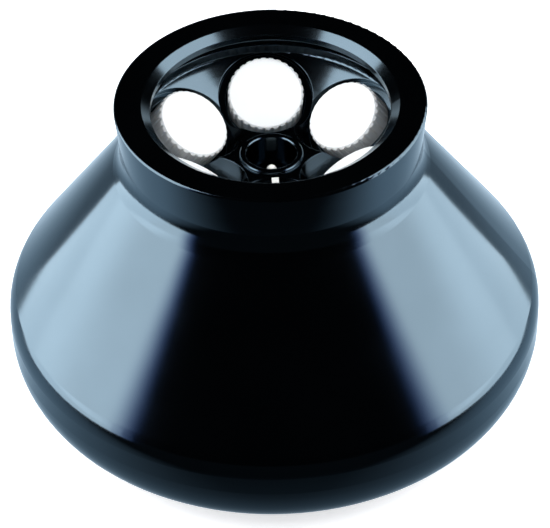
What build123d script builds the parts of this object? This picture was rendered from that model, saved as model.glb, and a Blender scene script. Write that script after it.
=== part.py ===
"""Fixed angle centrifuge rotor with six capped 50 mL tubes.

The rotor stands on its base at Z = 0, with its spin axis on +Z and its front towards -Y.
Lengths are in millimetres and angles in degrees.
"""
from math import cos, radians, sin, tan
import os

from build123d import *

# ---- driving dimensions -------------------------------------------------------------------
tube_count = 6
tube_tilt = 34.0                 # tube axis against the spin axis
first_azimuth = 273.0            # where tube 1 stands, counter-clockwise from +X

rim_radius = 69.0                # outer edge of the open top
rim_height = 151.0               # rim above the base plane
waist_radius = 66.5              # where the collar meets the cone
waist_height = 123.0
girth_radius = 122.0             # widest part of the rotor
girth_height = 44.5              # where the cone's line meets the upright band
foot_round = 30.0                # radius between the band and the base plane
girth_round = 18.0
waist_round = 20.0

lip_top_radius = 56.9            # where the taper of the open top starts
lip_taper_depth = 3.1
lip_radius = 53.0                # register bore, below the taper
lip_depth = 6.0                  # how far the register bore runs below the rim
groove_radius = 62.0             # undercut behind the lip
groove_depth = 13.0
floor_edge_radius = 60.0         # where the sloping bowl floor starts
floor_edge_depth = 18.0
hub_flat_depth = 30.0            # flat centre of the bowl, below the rim

collar_radius = 14.25            # ring around the hub bore
collar_rise = 1.3
hub_bore_radius = 11.25

recess_radius = 68.0             # flat ceiling of the underside
recess_height = 20.0
foot_inner_radius = 84.0         # inside edge of the ring that the rotor stands on

cap_top_radius = 38.4            # centre of a cap's top face, from the spin axis
cap_top_depth = 24.8             # the same point, below the rim
tube_length = 106.8              # capped tube, over all
tube_radius = 14.3
tube_wall = 1.7
cavity_radius = 14.7
cap_bore_radius = 18.2           # clears the cap
mouth_radius = 21.5              # wide mouth of a cavity, room for fingers around the cap
cap_radius = 17.2
cap_height = 21.0

spindle_radius = 12.0
spindle_lead_in = 1.5            # chamfer that guides the spindle into the hub
hub_bottom = 14.0                # lower face of the drive hub
hub_top = 80.0
hub_radius = 24.5
running_gap = 0.05               # radial gap of every shaft that turns or slides
seat_gap = 0.02                  # between pieces that stand on or in each other

pawl_count = 3
pawl_swing = 18.0                # degrees that a pawl opens
pawl_arm = 9.5                   # pivot to the tip that rides in the spool
button_travel = 2 * pawl_arm * sin(radians(pawl_swing / 2))

# ---- derived places -----------------------------------------------------------------------
tilt = radians(tube_tilt)
hub_flat = rim_height - hub_flat_depth
collar_top = hub_flat + collar_rise
floor_slope = tan(tilt)          # the bowl floor lies square to the tube axes
floor_edge_height = rim_height - floor_edge_depth
floor_centre_radius = floor_edge_radius - (floor_edge_height - hub_flat) / floor_slope

tip_radius = cap_top_radius + tube_length * sin(tilt)
tip_height = rim_height - cap_top_depth - tube_length * cos(tilt)

os.makedirs("parts", exist_ok=True)


def tube_plane(number):
    """Plane at the tip of a tube: local Z runs up its axis, local Y points at the hub."""
    azimuth = radians(first_azimuth + (number - 1) * 360 / tube_count)
    out_x, out_y = cos(azimuth), sin(azimuth)
    return Plane(
        origin=(tip_radius * out_x, tip_radius * out_y, tip_height),
        x_dir=(-out_y, out_x, 0),
        z_dir=(-sin(tilt) * out_x, -sin(tilt) * out_y, cos(tilt)),
    )


def nearest(points, x, y):
    """The vertex of a sketch that is closest to local x, y."""
    return points.sort_by_distance(Vertex(x, y, 0))[0]


def save(builder, label):
    """Name a finished piece and write its STEP file."""
    builder.part.label = label
    export_step(builder.part, f"parts/{label}.step")


tube_planes = [tube_plane(number) for number in range(1, tube_count + 1)]

# ---- rotor body ---------------------------------------------------------------------------
edge_round = 1.0
pocket_radius = hub_radius + running_gap
housing_bottom = hub_top
housing_shoulder = 84.0          # roof of the pocket, which the lock housing bears on

rotor_section = [
    (hub_bore_radius, collar_top),
    (collar_radius, collar_top),
    (collar_radius, hub_flat),
    (floor_centre_radius, hub_flat),
    (floor_edge_radius, floor_edge_height),
    (floor_edge_radius, rim_height - groove_depth - 1.0),
    (groove_radius, rim_height - groove_depth),
    (groove_radius, rim_height - lip_depth - 3.0),
    (lip_radius, rim_height - lip_depth),
    (lip_radius, rim_height - lip_taper_depth),
    (lip_top_radius, rim_height),
    (rim_radius, rim_height),
    (waist_radius, waist_height),
    (girth_radius, girth_height),
    (girth_radius, 0),
    (foot_inner_radius, 0),
    (foot_inner_radius - 2, 4),
    (recess_radius, recess_height),
    (pocket_radius, recess_height),
    (pocket_radius, housing_shoulder),
    (hub_bore_radius, housing_shoulder),
]

with BuildSketch() as section_sketch:
    with BuildLine():
        Polyline(*rotor_section, close=True)
    make_face()
    for corner_x, corner_y, radius in (
        (waist_radius, waist_height, waist_round),
        (girth_radius, girth_height, girth_round),
        (girth_radius, 0, foot_round),
        (floor_edge_radius, floor_edge_height, 1.0),
        (recess_radius, recess_height, 3.0),
        (rim_radius, rim_height, edge_round),
    ):
        fillet(nearest(section_sketch.vertices(), corner_x, corner_y), radius)
    for corner_x, corner_y, size in (
        (collar_radius, collar_top, 0.5),
        (hub_bore_radius, collar_top, 0.5),
    ):
        chamfer(nearest(section_sketch.vertices(), corner_x, corner_y), size)

# a cavity is a round-ended hole for the tube, a wider bore for its cap and a still wider mouth
cavity_gap = 0.05                # under the tube's tip
cap_seat = tube_length - cap_height - 1.0
mouth_bottom = 97.5              # where the wide mouth starts, up the tube's axis
mouth_top = 135.0

with BuildPart() as cavity_tool:
    with BuildSketch(Plane.XZ) as cavity_sketch:
        with Locations((0, cavity_radius - cavity_gap)):
            Circle(cavity_radius)
        with Locations((0, cavity_radius - cavity_gap)):
            Rectangle(2 * cavity_radius, tube_length, align=(Align.CENTER, Align.MIN))
        for radius, low, high in (
            (cap_bore_radius, cap_seat, mouth_bottom),
            (mouth_radius, mouth_bottom, mouth_top),
        ):
            with Locations((0, low)):
                Rectangle(2 * radius, high - low, align=(Align.CENTER, Align.MIN))
        split(bisect_by=Plane.YZ)
    revolve(axis=Axis.Z)

hub_screw_count = 6
hub_screw_pitch_radius = 29.5
hub_flange_radius = 34.5
hub_flange_height = 6.0
flange_chamfer = 1.0
screw_radius = 2.45
screw_length = 14.0              # shank below the head
screw_head_radius = 4.25
screw_head_height = 5.0
screw_first_angle = 30           # screws and cavities take turns around the hub
screw_sink = 0.4                 # screw heads below the hub's face
screw_head_floor = hub_bottom + screw_head_height + screw_sink
screw_hole_gap = 0.2
screw_head_gap = 0.25
socket_radius = 2.3              # corners of the hexagon socket
socket_depth = 2.6

magnet_count = 6
magnet_pitch_radius = 50.0
magnet_radius = 3.0
magnet_height = 3.0

with BuildPart() as rotor_body:
    with BuildSketch(Plane.XZ):
        add(section_sketch.sketch)
    revolve(axis=Axis.Z)
    add([cavity_tool.part.moved(plane.location) for plane in tube_planes], mode=Mode.SUBTRACT)
    with BuildSketch(Plane.XY.offset(recess_height)):
        with PolarLocations(hub_screw_pitch_radius, hub_screw_count, start_angle=screw_first_angle):
            Circle(screw_radius + running_gap)
    extrude(amount=screw_length, mode=Mode.SUBTRACT)
    with BuildSketch(Plane.XY.offset(recess_height)):
        with PolarLocations(magnet_pitch_radius, magnet_count):
            Circle(magnet_radius + running_gap)
    extrude(amount=magnet_height, mode=Mode.SUBTRACT)
save(rotor_body, "rotor_body")

# ---- drive hub: the flanged sleeve that sits on the spindle --------------------------------
chamber_radius = 20.5            # room for the pawls to open
chamber_bottom = 56.0
drive_pin_count = 3
drive_pin_radius = 2.5
drive_pin_pitch_radius = 18.0
drive_pin_reach = 5.0            # how far the pins stand out of the hub
drive_pin_shank_radius = 1.8
drive_pin_shank_length = 10.0    # in the hub

with BuildPart() as drive_hub:
    with BuildSketch(Plane.XZ):
        with BuildLine():
            Polyline(
                (spindle_radius + spindle_lead_in, hub_bottom),
                (hub_flange_radius - flange_chamfer, hub_bottom),
                (hub_flange_radius, hub_bottom + flange_chamfer),
                (hub_flange_radius, hub_bottom + hub_flange_height),
                (hub_radius, hub_bottom + hub_flange_height),
                (hub_radius, hub_top),
                (chamber_radius, hub_top),
                (chamber_radius, chamber_bottom),
                (spindle_radius, chamber_bottom),
                (spindle_radius, hub_bottom + spindle_lead_in),
                close=True,
            )
        make_face()
    revolve(axis=Axis.Z)
    with BuildSketch(Plane.XY.offset(hub_bottom)):
        with PolarLocations(hub_screw_pitch_radius, hub_screw_count, start_angle=screw_first_angle):
            Circle(screw_radius + screw_hole_gap)
        with PolarLocations(drive_pin_pitch_radius, drive_pin_count):
            Circle(drive_pin_shank_radius + seat_gap)
    extrude(amount=drive_pin_shank_length + seat_gap, mode=Mode.SUBTRACT)
    with BuildSketch(Plane.XY.offset(hub_bottom)):
        with PolarLocations(hub_screw_pitch_radius, hub_screw_count, start_angle=screw_first_angle):
            Circle(screw_head_radius + screw_head_gap)
    extrude(amount=screw_head_floor - hub_bottom, mode=Mode.SUBTRACT)
save(drive_hub, "drive_hub")

with BuildPart() as hub_screws:
    with BuildSketch(Plane.XY.offset(screw_head_floor)):
        with PolarLocations(hub_screw_pitch_radius, hub_screw_count, start_angle=screw_first_angle):
            Circle(screw_head_radius)
    extrude(amount=-screw_head_height)
    with BuildSketch(Plane.XY.offset(screw_head_floor)):
        with PolarLocations(hub_screw_pitch_radius, hub_screw_count, start_angle=screw_first_angle):
            Circle(screw_radius)
    extrude(amount=screw_length - 1)
    with BuildSketch(Plane.XY.offset(screw_head_floor - screw_head_height)):
        with PolarLocations(hub_screw_pitch_radius, hub_screw_count, start_angle=screw_first_angle):
            RegularPolygon(radius=socket_radius, side_count=6)
    extrude(amount=socket_depth, mode=Mode.SUBTRACT)
save(hub_screws, "hub_screws")

with BuildPart() as drive_pins:
    with BuildSketch(Plane.XY.offset(hub_bottom - seat_gap)):
        with PolarLocations(drive_pin_pitch_radius, drive_pin_count):
            Circle(drive_pin_radius)
    extrude(amount=-drive_pin_reach)
    chamfer(drive_pins.edges().group_by(Axis.Z)[0], 0.5)
    with BuildSketch(Plane.XY.offset(hub_bottom - seat_gap)):
        with PolarLocations(drive_pin_pitch_radius, drive_pin_count):
            Circle(drive_pin_shank_radius)
    extrude(amount=drive_pin_shank_length)
save(drive_pins, "drive_pins")

with BuildPart() as id_magnets:
    with BuildSketch(Plane.XY.offset(recess_height)):
        with PolarLocations(magnet_pitch_radius, magnet_count):
            Circle(magnet_radius)
    extrude(amount=magnet_height)
save(id_magnets, "id_magnets")

# ---- lock housing: guides the button and carries the pawls ---------------------------------
housing_radius = pocket_radius - running_gap
neck_radius = hub_bore_radius - running_gap
neck_top = 107.0
neck_chamfer = 1.2
button_radius = 2.2
spring_pocket_radius = 7.2
spring_pocket_top = 99.0
ring_groove_radius = 8.2
ring_bottom = 80.7
ring_height = 1.0
ring_gap = 0.05                  # above and below the snap ring in its groove

first_pawl_angle = 90
pawl_pivot_radius = 13.0         # pivot from the spin axis
pawl_pivot_height = 71.0
pawl_thickness = 5.0
pawl_pin_radius = 1.5
pawl_pin_length = 10.4
ear_gap = pawl_thickness + 0.4   # slot between the two ears of a pawl
ear_thickness = 2.4
ear_width = 6.0
ear_bottom = pawl_pivot_height - 3.2


def pawl_plane(index):
    """Plane square to a pawl's pivot: local X points out from the spin axis, local Y up."""
    azimuth = radians(first_pawl_angle + index * 360 / pawl_count)
    return Plane(
        origin=(
            pawl_pivot_radius * cos(azimuth),
            pawl_pivot_radius * sin(azimuth),
            pawl_pivot_height,
        ),
        x_dir=(cos(azimuth), sin(azimuth), 0),
        z_dir=(sin(azimuth), -cos(azimuth), 0),
    )


with BuildPart() as lock_housing:
    with BuildSketch(Plane.XZ):
        with BuildLine():
            Polyline(
                (button_radius + running_gap, neck_top),
                (neck_radius - neck_chamfer, neck_top),
                (neck_radius, neck_top - neck_chamfer),
                (neck_radius, housing_shoulder),
                (housing_radius, housing_shoulder),
                (housing_radius, housing_bottom),
                (spring_pocket_radius, housing_bottom),
                (spring_pocket_radius, ring_bottom - ring_gap),
                (ring_groove_radius, ring_bottom - ring_gap),
                (ring_groove_radius, ring_bottom + ring_height + ring_gap),
                (spring_pocket_radius, ring_bottom + ring_height + ring_gap),
                (spring_pocket_radius, spring_pocket_top),
                (button_radius + running_gap, spring_pocket_top),
                close=True,
            )
        make_face()
    revolve(axis=Axis.Z)
    with BuildSketch(Plane.XY.offset(ear_bottom)):
        with PolarLocations(pawl_pivot_radius, pawl_count, start_angle=first_pawl_angle):
            with Locations(
                (0, (ear_gap + ear_thickness) / 2),
                (0, -(ear_gap + ear_thickness) / 2),
            ):
                Rectangle(ear_width, ear_thickness)
    extrude(amount=housing_bottom - ear_bottom)
    for index in range(pawl_count):
        with BuildSketch(pawl_plane(index)):
            Circle(pawl_pin_radius + seat_gap)
        extrude(amount=pawl_pin_length, both=True, mode=Mode.SUBTRACT)
save(lock_housing, "lock_housing")

# ---- lock button: pressed down, it opens the pawls -----------------------------------------
button_top = 114.8
button_dome_rise = 2.0
button_dome_radius = (button_radius ** 2 + button_dome_rise ** 2) / (2 * button_dome_rise)
dome_side = button_top - button_dome_rise
button_flange_radius = spring_pocket_radius - 2 * running_gap
button_flange_top = spring_pocket_top - 0.1
button_flange_height = 2.0
stem_radius = 1.6
tip_height_rest = pawl_pivot_height + pawl_arm * sin(radians(pawl_swing / 2))
tip_ball = 0.95
spool_gap = 0.1
spool_radius = 4.2
spool_core_radius = 2.3
spool_groove_top = tip_height_rest + tip_ball + spool_gap
spool_groove_bottom = tip_height_rest - tip_ball - spool_gap
spool_top = spool_groove_top + 1.4
spool_bottom = spool_groove_bottom - 1.2
spool_floor = 1.0                # closed end under the stem

with BuildPart() as lock_button:
    with BuildSketch(Plane.XZ):
        with BuildLine():
            Polyline(
                (0, button_top),
                (0, spool_bottom + spool_floor),
                (stem_radius, spool_bottom + spool_floor),
                (stem_radius, spool_top),
                (button_radius, spool_top),
                (button_radius, button_flange_top - button_flange_height),
                (button_flange_radius, button_flange_top - button_flange_height),
                (button_flange_radius, button_flange_top),
                (button_radius, button_flange_top),
                (button_radius, dome_side),
            )
            RadiusArc((button_radius, dome_side), (0, button_top), -button_dome_radius)
        make_face()
    revolve(axis=Axis.Z)
save(lock_button, "lock_button")

with BuildPart() as pawl_spool:
    with BuildSketch(Plane.XZ):
        with BuildLine():
            Polyline(
                (stem_radius, spool_top - seat_gap),
                (spool_radius, spool_top - seat_gap),
                (spool_radius, spool_groove_top),
                (spool_core_radius, spool_groove_top),
                (spool_core_radius, spool_groove_bottom),
                (spool_radius, spool_groove_bottom),
                (spool_radius, spool_bottom),
                (0, spool_bottom),
                (0, spool_bottom + spool_floor - seat_gap),
                (stem_radius, spool_bottom + spool_floor - seat_gap),
                close=True,
            )
        make_face()
    revolve(axis=Axis.Z)
save(pawl_spool, "pawl_spool")

# ---- button spring, its seat and the snap ring under it ------------------------------------
seat_height = 1.2
seat_bottom = ring_bottom + ring_height + seat_gap
seat_clearance = 0.4             # around the button's shaft
ring_width = 2.0
ring_opening = 4.0               # gap that lets the snap ring close
spring_wire_radius = 0.5
spring_radius = 5.0
spring_bottom = seat_bottom + seat_height
spring_top = button_flange_top - button_flange_height
spring_turns = 5
spring_gap = 0.05                # between an end of the spring and what it bears on

with BuildPart() as spring_seat:
    with BuildSketch(Plane.XY.offset(seat_bottom)):
        Circle(button_flange_radius)
        Circle(button_radius + seat_clearance, mode=Mode.SUBTRACT)
    extrude(amount=seat_height)
save(spring_seat, "spring_seat")

with BuildPart() as spring_ring:
    with BuildSketch(Plane.XY.offset(ring_bottom)):
        Circle(ring_groove_radius - ring_gap)
        Circle(ring_groove_radius - ring_width, mode=Mode.SUBTRACT)
        with Locations((0, -ring_groove_radius)):
            Rectangle(ring_opening, 3 * ring_width, mode=Mode.SUBTRACT)
    extrude(amount=ring_height)
save(spring_ring, "spring_ring")

spring_rise = spring_top - spring_bottom - 2 * (spring_wire_radius + spring_gap)
with BuildPart() as button_spring:
    with BuildLine() as spring_path:
        Helix(
            pitch=spring_rise / spring_turns,
            height=spring_rise,
            radius=spring_radius,
            center=(0, 0, spring_bottom + spring_wire_radius + spring_gap),
        )
    with BuildSketch(spring_path.line ^ 0):
        Circle(spring_wire_radius)
    sweep()
save(button_spring, "button_spring")

# ---- lock pawls ----------------------------------------------------------------------------
pawl_boss_radius = 3.0
pawl_back = 2.5                  # outer side of a pawl, from its pivot
pawl_front = -1.2                # inner side
hook_low = -13.0                 # below the pivot
hook_high = -10.0
hook_nose = -4.0                 # how far the hook stands in from the pivot
hook_chamfer = 1.5
arm_thickness = 1.4
arm_rise = pawl_swing / 2
tip_x = -pawl_arm * cos(radians(arm_rise))
tip_y = pawl_arm * sin(radians(arm_rise))

for index in range(pawl_count):
    with BuildPart() as lock_pawl:
        with BuildSketch(pawl_plane(index)):
            with BuildLine():
                Polyline(
                    (pawl_front, 0),
                    (pawl_front, hook_high),
                    (hook_nose, hook_high),
                    (hook_nose, hook_low + hook_chamfer),
                    (hook_nose + hook_chamfer, hook_low),
                    (pawl_back, hook_low),
                    (pawl_back, 0),
                    close=True,
                )
            make_face()
            Circle(pawl_boss_radius)
            with Locations(Location((tip_x / 2, tip_y / 2), -arm_rise)):
                Rectangle(pawl_arm, arm_thickness)
            with Locations((tip_x, tip_y)):
                Circle(tip_ball)
            Circle(pawl_pin_radius + running_gap, mode=Mode.SUBTRACT)
        extrude(amount=pawl_thickness / 2, both=True)
    save(lock_pawl, f"lock_pawl_{index + 1}")

with BuildPart() as pawl_pins:
    for index in range(pawl_count):
        with BuildSketch(pawl_plane(index)):
            Circle(pawl_pin_radius)
        extrude(amount=pawl_pin_length / 2, both=True)
save(pawl_pins, "pawl_pins")

# ---- tubes, caps and liners ----------------------------------------------------------------
neck_outer_radius = 12.9
neck_bore_radius = 11.2
neck_bottom = tube_length - cap_height - 0.6
mouth = tube_length - 3.4
cap_bottom = tube_length - cap_height
cap_wall_radius = 13.4           # inside of the cap's skirt
cap_roof = tube_length - 2.0
cap_chamfer = 1.0
flute_count = 30
flute_radius = 1.1
flute_offset = 0.4               # centre of a flute outside the cap's skirt
liner_thickness = 1.35
liner_gap = 0.15
neck_slope = 2.0                 # height of the shoulder under the neck

with BuildPart() as tube_pattern:
    with BuildSketch(Plane.XZ):
        with BuildLine():
            Line((0, tube_wall), (0, 0))
            RadiusArc((0, 0), (tube_radius, tube_radius), -tube_radius)
            Polyline(
                (tube_radius, tube_radius),
                (tube_radius, neck_bottom - neck_slope),
                (neck_outer_radius, neck_bottom),
                (neck_outer_radius, mouth),
                (neck_bore_radius, mouth),
                (neck_bore_radius, neck_bottom),
                (tube_radius - tube_wall, neck_bottom - neck_slope - 1.0),
                (tube_radius - tube_wall, tube_radius),
            )
            RadiusArc(
                (tube_radius - tube_wall, tube_radius),
                (0, tube_wall),
                tube_radius - tube_wall,
            )
        make_face()
    revolve(axis=Axis.Z)

with BuildPart() as cap_pattern:
    with BuildSketch(Plane.XZ) as cap_sketch:
        with BuildLine():
            Polyline(
                (0, cap_roof),
                (0, tube_length),
                (cap_radius, tube_length),
                (cap_radius, cap_bottom),
                (cap_wall_radius, cap_bottom),
                (cap_wall_radius, cap_roof),
                close=True,
            )
        make_face()
        chamfer(nearest(cap_sketch.vertices(), cap_radius, tube_length), cap_chamfer)
    revolve(axis=Axis.Z)
    with BuildSketch(Plane.XY.offset(cap_bottom)):
        with PolarLocations(cap_radius + flute_offset, flute_count):
            RegularPolygon(radius=flute_radius, side_count=6, rotation=30)
    extrude(amount=cap_height, mode=Mode.SUBTRACT)

with BuildPart() as liner_pattern:
    with BuildSketch(Plane.XY.offset(cap_roof - liner_thickness)):
        Circle(cap_wall_radius - liner_gap)
    extrude(amount=liner_thickness - seat_gap)

for number, plane in enumerate(tube_planes, start=1):
    for pattern, name in (
        (tube_pattern, "tube"),
        (cap_pattern, "cap"),
        (liner_pattern, "cap_liner"),
    ):
        with BuildPart() as piece:
            add(pattern.part.moved(plane.location))
        save(piece, f"{name}_{number}")

# ---- index mark on the wall of the front cavity's mouth -------------------------------------
mark_size = 3.1
mark_height = 113.3              # centre, up the front tube's axis
mark_offset = 0.6                # centre, beside the plane through both axes
mark_thickness = 0.25

with BuildPart() as index_mark:
    with BuildSketch(tube_planes[0].offset(mark_height - mark_size / 2)):
        Circle(mouth_radius)
        Circle(mouth_radius - mark_thickness, mode=Mode.SUBTRACT)
        with Locations((mark_offset, mouth_radius)):
            Rectangle(mark_size, mark_size, mode=Mode.INTERSECT)
    extrude(amount=mark_size)
save(index_mark, "index_mark")
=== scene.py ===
# %% [markdown]
# # Dressing a fixed angle rotor
# The CAD model already holds every part of this centrifuge rotor at its real size, in metres,
# with the spin axis on +Z and the front towards -Y. This lesson sets it on white paper between
# two soft boxes and gives each part its finish, down to the lathe marks and softened edges that
# a drawing leaves out. It changes no form; the lock spring only gets its own copy of its mesh.
# Loading the frame comes first, because everything else takes its place from it.

# %% Load the frame
from math import cos, pi, radians, sin

import bpy
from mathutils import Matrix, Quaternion, Vector


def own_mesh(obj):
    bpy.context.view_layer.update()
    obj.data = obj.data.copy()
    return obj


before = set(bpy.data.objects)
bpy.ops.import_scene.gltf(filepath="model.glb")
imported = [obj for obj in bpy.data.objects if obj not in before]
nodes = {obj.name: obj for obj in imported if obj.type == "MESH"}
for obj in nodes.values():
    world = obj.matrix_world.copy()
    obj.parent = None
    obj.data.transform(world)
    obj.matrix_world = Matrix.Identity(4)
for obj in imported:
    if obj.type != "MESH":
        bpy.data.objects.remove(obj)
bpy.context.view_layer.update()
bpy.ops.object.select_all(action="DESELECT")

MM = 0.001

# %% [markdown]
# ## Camera
# A rotor on a bench is looked down on, so that the caps in its bowl show. A long lens from well
# back keeps the two sides of the cone even. The camera is placed by the point it aims at, its
# distance and its elevation, which is easier to adjust than three coordinates and three
# angles. A slight roll, as from a hand-held camera, is turned about the view axis at the end.

# %% Camera
aim_height = 56.8 * MM
camera_distance = 1380 * MM
camera_elevation = radians(40.72)
camera_roll = radians(-1.17)
lens_length = 197.0              # in mm, on a 36 mm wide sensor
frame_shift = 0.0024             # of the frame's width
view_reach = 20                  # in metres, past the far edge of the floor

aim = Vector((0, 0, aim_height))
away = Vector((0, -cos(camera_elevation), sin(camera_elevation)))
bpy.ops.object.camera_add(location=aim + camera_distance * away)
camera = bpy.context.object
camera.name = "bench_camera"
camera.rotation_mode = "QUATERNION"
camera.rotation_quaternion = (-away).to_track_quat("-Z", "Y") @ Quaternion((0, 0, 1), camera_roll)
camera.data.lens = lens_length
camera.data.shift_x = frame_shift
camera.data.clip_end = view_reach
bpy.context.scene.camera = camera
bpy.context.scene.view_settings.view_transform = "Standard"
print("camera at", [round(value, 3) for value in camera.location])

# %% [markdown]
# ## Small helpers
# Colours are easiest to read as the hex values a paint chart gives, but Blender's shaders work
# in linear light, so one function converts them. The second adds a shader node: its options,
# the values of its sockets, and the links that feed it. The last two use it for the two nodes
# that are needed most, a change of one value with another and a mixture of two colours.


# %% Colour and node helpers
def paint(hex_colour):
    """Linear RGBA from an sRGB hex colour such as "#F2F4F3"."""
    channels = [int(hex_colour[i:i + 2], 16) / 255 for i in (1, 3, 5)]
    return [c / 12.92 if c <= 0.04045 else ((c + 0.055) / 1.055) ** 2.4 for c in channels] + [1]


def put(tree, kind, options=None, values=None, links=None):
    """Add a node with its options and socket values, and link other sockets into it."""
    made = tree.nodes.new(kind)
    for option, value in (options or {}).items():
        setattr(made, option, value)
    for socket, value in (values or {}).items():
        made.inputs[socket].default_value = value
    for socket, source in (links or {}).items():
        tree.links.new(source, made.inputs[socket])
    return made


def ramp(tree, source, start, end, first=0, last=1, kind="SMOOTHSTEP"):
    """A socket that goes from first to last while source goes from start to end."""
    made = put(tree, "ShaderNodeMapRange", options={"interpolation_type": kind},
               values={"From Min": start, "From Max": end, "To Min": first, "To Max": last},
               links={"Value": source})
    return made.outputs["Result"]


def mixed(tree, hex_first, hex_second, share):
    """A socket with a mixture of two hex colours. share is that of the second."""
    made = put(tree, "ShaderNodeMix", options={"data_type": "RGBA"},
               values={6: paint(hex_first), 7: paint(hex_second)}, links={"Factor": share})
    return made.outputs[2]


# %% [markdown]
# ## The room
# A black, glossy part shows its surroundings more than itself. The camera sees a plain white
# background. Reflections see a studio: lit white paper low down at the sides and the back, a
# dark ceiling over it, and a dark room behind the camera. The dark parts are what keeps the
# black surfaces black. Diffuse light from the room is weak, so the soft boxes shape the object.

# %% World
world = bpy.data.worlds.new("studio_room")
bpy.context.scene.world = world
world.use_nodes = True
tree = world.node_tree
tree.nodes.clear()

paper_top = 0.06                 # sine of the elevation where the paper starts to fade
ceiling_start = 0.22             # and where the dark ceiling begins
front_end = -0.55                # the front of the room is dark up to here, -1 is straight ahead
sides_start = -0.05              # and the sides are fully lit from here on
paper_light = 1.5                # what reflections see
fill_light = 0.36                # what matt surfaces get

ray = put(tree, "ShaderNodeLightPath")
direction = put(tree, "ShaderNodeTexCoord").outputs["Generated"]
split = put(tree, "ShaderNodeSeparateXYZ", links={0: direction})
under_ceiling = ramp(tree, split.outputs["Z"], paper_top, ceiling_start, 1, 0)
past_front = ramp(tree, split.outputs["Y"], front_end, sides_start)
lit = put(tree, "ShaderNodeMath", options={"operation": "MULTIPLY"},
          links={0: under_ceiling, 1: past_front})
room = mixed(tree, "#0B0C0E", "#FFFFFF", lit.outputs[0])
mirror_ray = put(tree, "ShaderNodeMath", options={"operation": "MAXIMUM"},
                 links={0: ray.outputs["Is Glossy Ray"], 1: ray.outputs["Is Transmission Ray"]})
fill = put(tree, "ShaderNodeBackground",
           values={"Color": paint("#F7FAFF"), "Strength": fill_light})
seen_by_gloss = put(tree, "ShaderNodeBackground", values={"Strength": paper_light},
                    links={"Color": room})
seen_by_camera = put(tree, "ShaderNodeBackground", values={"Color": paint("#FFFFFF")})
gloss_or_fill = put(tree, "ShaderNodeMixShader",
                    links={0: mirror_ray.outputs[0], 1: fill.outputs[0],
                           2: seen_by_gloss.outputs[0]})
whole = put(tree, "ShaderNodeMixShader",
            links={0: ray.outputs["Is Camera Ray"], 1: gloss_or_fill.outputs[0],
                   2: seen_by_camera.outputs[0]})
put(tree, "ShaderNodeOutputWorld", links={"Surface": whole.outputs[0]})
print("world nodes:", len(tree.nodes))

# %% [markdown]
# ## Floor
# White paper, large enough that no view reaches its edge. The camera sees it nearly white, with
# a soft shadow under the rotor. Reflections see a painted glow in place of the paper's lighting:
# painted light brightest close behind the rotor and between the soft boxes, dimmer farther off,
# and painted black in front but for a dim strip of painted shade around the foot. The tone is
# drawn from the distance to the spin axis and from Y, so it can be moved without moving a lamp.

# %% Floor
floor_side = 12                  # in metres
# What reflections see of the paper is painted light and shade, set by the values below.
dark_from = 175 * MM             # this far in front of the axis, and beyond, the paper is dark
lit_from = 20 * MM               # and from here backwards it is fully lit
near_radius = 210 * MM           # the lit paper is brightest up to this radius
far_radius = 460 * MM            # and dimmest from this one on
near_light = 1.2
far_light = 0.55
strip_inner = 128 * MM           # the strip in front starts to fade at this radius
strip_outer = 182 * MM           # and is gone at this one
strip_light = 0.13
front_light = 0.025              # on the rest of the paper in front
camera_lift = 0.62               # glow that only the camera sees, which whitens the paper

bpy.ops.mesh.primitive_plane_add(size=floor_side)
floor = bpy.context.object
floor.name = "paper_floor"

paper = bpy.data.materials.new("white_paper")
paper.use_nodes = True
tree = paper.node_tree
tree.nodes.clear()
spot = put(tree, "ShaderNodeTexCoord").outputs["Object"]
split = put(tree, "ShaderNodeSeparateXYZ", links={0: spot})
distance = put(tree, "ShaderNodeVectorMath", options={"operation": "LENGTH"}, links={0: spot})
radius = distance.outputs["Value"]
back = ramp(tree, split.outputs["Y"], -dark_from, -lit_from)
level = ramp(tree, radius, near_radius, far_radius, near_light, far_light, "LINEAR")
strip = ramp(tree, radius, strip_inner, strip_outer, strip_light, front_light)
behind = put(tree, "ShaderNodeMath", options={"operation": "MULTIPLY"},
             links={0: back, 1: level})
tone = put(tree, "ShaderNodeMath", options={"operation": "MAXIMUM"},
           links={0: behind.outputs[0], 1: strip})
# Painted light: the paper glows for reflections with this drawn tone, standing in for how it is lit
# and shaded.
painted_paper_glow = put(tree, "ShaderNodeEmission", values={"Color": paint("#D4ECFF")},
                links={"Strength": tone.outputs[0]})
sheet = put(tree, "ShaderNodeBsdfDiffuse", values={"Color": paint("#E9EAEB")})
ray = put(tree, "ShaderNodeLightPath")
lift = put(tree, "ShaderNodeMath", options={"operation": "MULTIPLY"}, values={1: camera_lift},
           links={0: ray.outputs["Is Camera Ray"]})
glow = put(tree, "ShaderNodeEmission", values={"Color": paint("#FFFFFF")},
           links={"Strength": lift.outputs[0]})
seen = put(tree, "ShaderNodeAddShader", links={0: sheet.outputs[0], 1: glow.outputs[0]})
whole = put(tree, "ShaderNodeMixShader",
            links={0: ray.outputs["Is Glossy Ray"], 1: seen.outputs[0],
                   2: painted_paper_glow.outputs[0]})
put(tree, "ShaderNodeOutputMaterial", links={"Surface": whole.outputs[0]})
floor.data.materials.append(paper)
print("floor nodes:", len(tree.nodes))

# %% [markdown]
# ## Lamps
# Two tall soft boxes stand on the floor, close on the left and right. Their reflections are the
# two broad pale panels on the cone: the inner edge of a panel is the front edge of its box, and
# the crisp slanting line near the outline is the rear edge. Towards the front edge each box turns
# dim and blue, so that its panel fades into the black without a hard line. A third lamp, above
# the camera, lights the white caps from the front. Reflections don't see it.

# %% Soft boxes
box_distance = 340 * MM
box_bottom = 1 * MM
box_top = 800 * MM
box_back = 214 * MM
box_fade = 120 * MM              # width of the dim blue strip along the front edge
soft_boxes = (
    # name, side, front edge in Y, radiance
    ("soft_box_left", -1, -306 * MM, 5.4),
    ("soft_box_right", 1, -292 * MM, 4.8),
)

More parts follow.
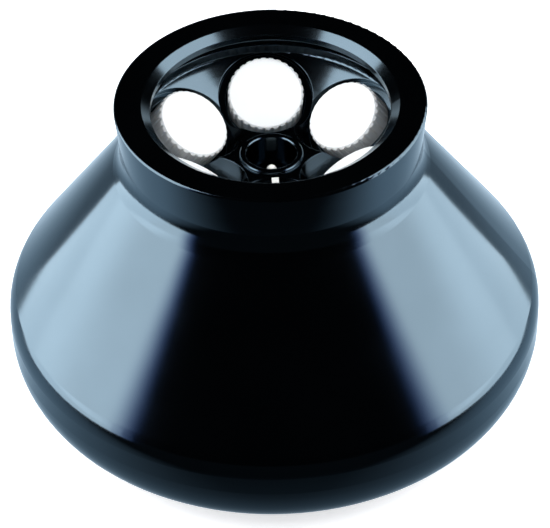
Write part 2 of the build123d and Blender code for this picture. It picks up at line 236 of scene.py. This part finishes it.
for name, side, box_front, radiance in soft_boxes:
    width = box_back - box_front
    tall = box_top - box_bottom
    place = Vector((side * box_distance, (box_back + box_front) / 2, (box_top + box_bottom) / 2))
    bpy.ops.object.light_add(type="AREA", location=place)
    lamp = bpy.context.object
    lamp.name = name
    lamp.rotation_mode = "QUATERNION"
    lamp.rotation_quaternion = Vector((-side, 0, 0)).to_track_quat("-Z", "Y")
    lamp.data.shape = "RECTANGLE"
    lamp.data.size = width
    lamp.data.size_y = tall
    lamp.data.energy = radiance * pi * width * tall
    lamp.visible_camera = False
    lamp.data.use_nodes = True
    tree = lamp.data.node_tree
    tree.nodes.clear()
    spot = put(tree, "ShaderNodeNewGeometry").outputs["Position"]
    split = put(tree, "ShaderNodeSeparateXYZ", links={0: spot})
    strength = ramp(tree, split.outputs["Y"], box_front, box_front + box_fade)
    cloth = mixed(tree, "#3E6FC8", "#FFFFFF", strength)
    glow = put(tree, "ShaderNodeEmission", links={"Color": cloth, "Strength": strength})
    put(tree, "ShaderNodeOutputLight", links={"Surface": glow.outputs[0]})
    print(name, "W:", round(lamp.data.energy, 2))

# %% Front lamp
front_place = Vector((0, -420 * MM, 760 * MM))
front_size = 320 * MM
front_radiance = 3.5

bpy.ops.object.light_add(type="AREA", location=front_place)
lamp = bpy.context.object
lamp.name = "front_lamp"
lamp.rotation_mode = "QUATERNION"
lamp.rotation_quaternion = (-front_place).to_track_quat("-Z", "Y")
lamp.data.size = front_size
lamp.data.energy = front_radiance * pi * front_size ** 2
lamp.visible_camera = False
lamp.visible_glossy = False
print("front lamp, W:", round(lamp.data.energy, 2))

# %% [markdown]
# ## Black anodised aluminium
# The body is turned from one forging, etched, anodised and dyed black. The oxide film lets the
# metal's shine through, darkened and slightly blue, so it is a metal with a very dark base
# colour, and not a black plastic. At a grazing angle the film eats part of the light, which the
# specular tint says. Turning leaves fine rings, one for each turn of the lathe, and the etch a
# fine grain. Both are drawn coarser than life, so that they show at all. A machinist breaks every
# edge, and a bevel in the shader lets those edges catch the light without changing the form.


# %% Anodised finish
def finish(name, **values):
    """A new material with a Principled shader. Returns the material, its tree and its shader."""
    made = bpy.data.materials.new(name)
    made.use_nodes = True
    made.node_tree.nodes.clear()
    shader = put(made.node_tree, "ShaderNodeBsdfPrincipled",
                 values={socket.replace("_", " "): value for socket, value in values.items()})
    put(made.node_tree, "ShaderNodeOutputMaterial", links={"Surface": shader.outputs[0]})
    return made, made.node_tree, shader


def roughen(tree, shader, noise, smooth, rough):
    """Let a noise texture move the shader's roughness between smooth and rough."""
    sheen = ramp(tree, noise.outputs[0], noise_low, noise_high, smooth, rough, "LINEAR")
    tree.links.new(sheen, shader.inputs["Roughness"])


def dress(material, *names):
    """Give CAD nodes a material in place of the plain one they came with."""
    for name in names:
        nodes[name].data.materials[0] = material


noise_low, noise_high = 0.3, 0.7     # most values of a noise texture lie between these
turning_pitch = 0.9 * MM         # about 0.15 mm after a fine cut, which is too fine to show
etch_grain = 0.5 * MM
etch_depth = 0.004 * MM
etch_strength = 0.35
haze_size = 45 * MM              # slow changes of tone in the dyed film
edge_break = 0.45 * MM


def anodise(name, dark, light, turning_depth):
    """Black anodised aluminium with lathe rings around +Z and an etched grain."""
    made, tree, shader = finish(name, Metallic=1.0, Specular_Tint=paint("#DDE4E8"))
    spot = put(tree, "ShaderNodeTexCoord").outputs["Object"]
    split = put(tree, "ShaderNodeSeparateXYZ", links={0: spot})
    flat = put(tree, "ShaderNodeCombineXYZ",
               links={"X": split.outputs["X"], "Y": split.outputs["Y"]})
    radius = put(tree, "ShaderNodeVectorMath", options={"operation": "LENGTH"},
                 links={0: flat.outputs[0]})
    along = put(tree, "ShaderNodeMath", options={"operation": "SUBTRACT"},
                links={0: radius.outputs["Value"], 1: split.outputs["Z"]})
    turns = put(tree, "ShaderNodeMath", options={"operation": "MULTIPLY"},
                values={1: 2 * pi / turning_pitch}, links={0: along.outputs[0]})
    rings = put(tree, "ShaderNodeMath", options={"operation": "SINE"}, links={0: turns.outputs[0]})
    grain = put(tree, "ShaderNodeTexNoise", values={"Scale": 1 / etch_grain, "Detail": 3.0},
                links={"Vector": spot})
    haze = put(tree, "ShaderNodeTexNoise", values={"Scale": 1 / haze_size, "Detail": 5.0},
               links={"Vector": spot})
    broken_edges = put(tree, "ShaderNodeBevel", options={"samples": 6},
                       values={"Radius": edge_break})
    turned = put(tree, "ShaderNodeBump", values={"Strength": 1.0, "Distance": turning_depth},
                 links={"Height": rings.outputs[0], "Normal": broken_edges.outputs[0]})
    etched = put(tree, "ShaderNodeBump", values={"Strength": etch_strength, "Distance": etch_depth},
                 links={"Height": grain.outputs[0], "Normal": turned.outputs[0]})
    tree.links.new(mixed(tree, dark, light, haze.outputs[0]), shader.inputs["Base Color"])
    roughen(tree, shader, haze, 0.10, 0.14)
    tree.links.new(etched.outputs[0], shader.inputs["Normal"])
    return made


dress(anodise("anodised_body", "#3E4A52", "#46535C", 0.0006 * MM), "rotor_body")
dress(anodise("anodised_housing", "#3C464D", "#465159", 0.001 * MM), "lock_housing")
print("anodised: rotor_body, lock_housing")

# %% [markdown]
# ## Steel and nickel
# The sleeve, screws, pins and lock are stainless or hardened steel, ground or turned. A metal
# takes its colour from its reflectance, so the base colours are light, and the finish is all in
# the roughness and the fine marks.

# %% Steels
grain_flatness = 8               # the grain lies in flat layers, as turning leaves it
mark_strength = 0.5


def steel(name, colour, smooth, rough, grain_size, grain_depth):
    """Bare metal with a fine grain. smooth and rough bound its roughness."""
    made, tree, shader = finish(name, Metallic=1.0, Base_Color=paint(colour))
    spot = put(tree, "ShaderNodeTexCoord").outputs["Object"]
    flattened = put(tree, "ShaderNodeMapping", values={"Scale": (1, 1, grain_flatness)},
                    links={"Vector": spot})
    grain = put(tree, "ShaderNodeTexNoise", values={"Scale": 1 / grain_size, "Detail": 3.0},
                links={"Vector": flattened.outputs[0]})
    roughen(tree, shader, grain, smooth, rough)
    ground = put(tree, "ShaderNodeBump",
                 values={"Strength": mark_strength, "Distance": grain_depth},
                 links={"Height": grain.outputs[0]})
    tree.links.new(ground.outputs[0], shader.inputs["Normal"])
    return made


steels = (
    # name, colour, smooth, rough, size and depth of the grain in mm, the nodes it is for
    ("turned_stainless", "#C3C5C8", 0.22, 0.34, 1.5, 0.004, ["drive_hub"]),
    ("plain_stainless", "#CBCCCF", 0.18, 0.30, 0.8, 0.002,
     ["hub_screws", "drive_pins", "spring_ring", "spring_seat", "pawl_pins", "pawl_spool"]),
    ("ground_tool_steel", "#A9ABAF", 0.28, 0.40, 0.6, 0.004,
     ["lock_pawl_1", "lock_pawl_2", "lock_pawl_3"]),
    ("drawn_spring_wire", "#BFC0C4", 0.16, 0.24, 0.5, 0.001, ["button_spring"]),
    ("nickel_plate", "#CFC9BE", 0.10, 0.16, 2.0, 0.0005, ["id_magnets"]),
)
for name, colour, smooth, rough, grain_size, grain_depth, wearers in steels:
    dress(steel(name, colour, smooth, rough, grain_size * MM, grain_depth * MM), *wearers)
    print(name, "on", len(wearers), "nodes")

# %% [markdown]
# ## Polypropylene, silicone and enamel
# The caps are moulded in white polypropylene, which is waxy: light enters it and comes out
# softened, so more than half of it is scattered below the surface, and the roughness is between
# satin and gloss. The tubes are the same plastic without pigment, and look cloudy. The liners
# are silicone, softer and duller. The inside corners of a mould are never sharp, so the shader
# rounds the edges of everything that comes out of one.

# %% Plastics
mould_round = 0.35 * MM
polypropylene_ior = 1.49


def moulded(name, colour, roughness, texture_size, texture_depth, **values):
    """A moulded plastic with the faint unevenness of its mould."""
    made, tree, shader = finish(name, Base_Color=paint(colour), **values)
    spot = put(tree, "ShaderNodeTexCoord").outputs["Object"]
    flow = put(tree, "ShaderNodeTexNoise", values={"Scale": 1 / texture_size, "Detail": 4.0},
               links={"Vector": spot})
    roughen(tree, shader, flow, roughness * 0.85, roughness * 1.15)
    soft_edges = put(tree, "ShaderNodeBevel", options={"samples": 4},
                     values={"Radius": mould_round})
    skin = put(tree, "ShaderNodeBump",
               values={"Strength": mark_strength, "Distance": texture_depth},
               links={"Height": flow.outputs[0], "Normal": soft_edges.outputs[0]})
    tree.links.new(skin.outputs[0], shader.inputs["Normal"])
    return made


tube_count = 6
numbers = range(1, tube_count + 1)
white_plastic = moulded("white_polypropylene", "#ECEFF0", 0.34, 2.5 * MM, 0.02 * MM,
                        IOR=polypropylene_ior, Subsurface_Weight=0.6, Subsurface_Scale=4 * MM,
                        Subsurface_Radius=(1.0, 0.95, 0.9))
clear_plastic = moulded("clear_polypropylene", "#E4EAEB", 0.22, 6.0 * MM, 0.01 * MM,
                        IOR=polypropylene_ior, Transmission_Weight=0.75)
silicone = moulded("silicone_sheet", "#CFCDC6", 0.55, 1.0 * MM, 0.01 * MM, IOR=1.41)
enamel = moulded("white_enamel", "#F2F2EE", 0.3, 0.8 * MM, 0.01 * MM)
acetal = moulded("white_acetal", "#F0F0EA", 0.2, 1.5 * MM, 0.004 * MM, IOR=1.48)
dress(white_plastic, *[f"cap_{number}" for number in numbers])
dress(clear_plastic, *[f"tube_{number}" for number in numbers])
dress(silicone, *[f"cap_liner_{number}" for number in numbers])
dress(enamel, "index_mark")
dress(acetal, "lock_button")
print("moulded or enamelled:", 3 * tube_count + 2, "nodes")

# %% [markdown]
# ## Button spring
# The spring stands on its seat, and the lock button's flange bears on its upper end. When the
# button is pressed the spring has to shorten by the same stroke. Here it only gets its own copy
# of its mesh.

# %% Spring's own mesh
spring = nodes["button_spring"]
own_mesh(spring)
